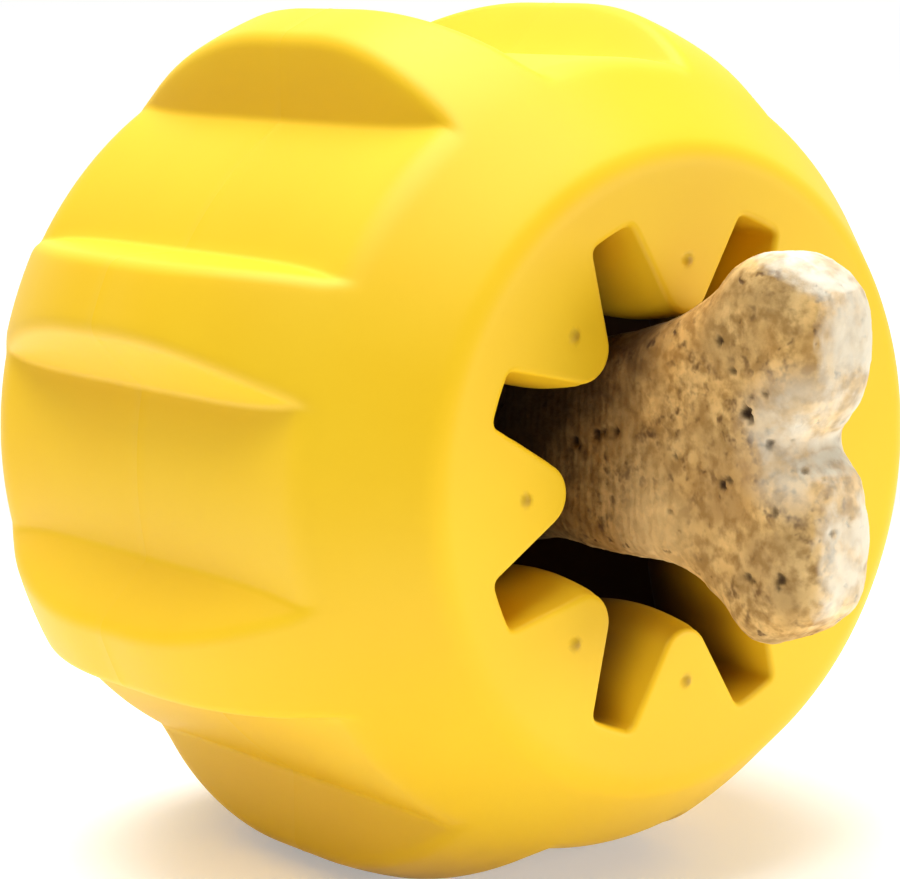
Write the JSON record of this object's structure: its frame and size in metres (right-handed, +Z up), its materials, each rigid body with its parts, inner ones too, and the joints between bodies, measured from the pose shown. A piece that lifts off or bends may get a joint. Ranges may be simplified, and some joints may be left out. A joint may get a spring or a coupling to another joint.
{
  "type": "dog chew holder",
  "caption": "Lugged rubber barrel with a toothed mouth in each flat end and a hollow chamber between, gripping a bone-shaped biscuit chew that slides in the front mouth.",
  "frame": {"origin": "centre of the part's footprint on the surface that the holder lies on", "axes": "+Z up, +Y along the holder's axis towards its rear face, front mouth and chew facing -Y, +X to the right seen from the front"},
  "size_m": [0.0668, 0.0697, 0.0669],
  "materials": {
    "holder_rubber": "satin",
    "baked_biscuit": "matte"
  },
  "bodies": {
    "holder": {"holder_body": "holder_rubber"},
    "chew": {"bone_chew": "baked_biscuit"}
  },
  "joints": [
    {"name": "chew_slide", "type": "slide", "parent": "holder", "child": "chew", "axis": [0, -1, 0], "range_m": [0, 0.0125]}
  ]
}
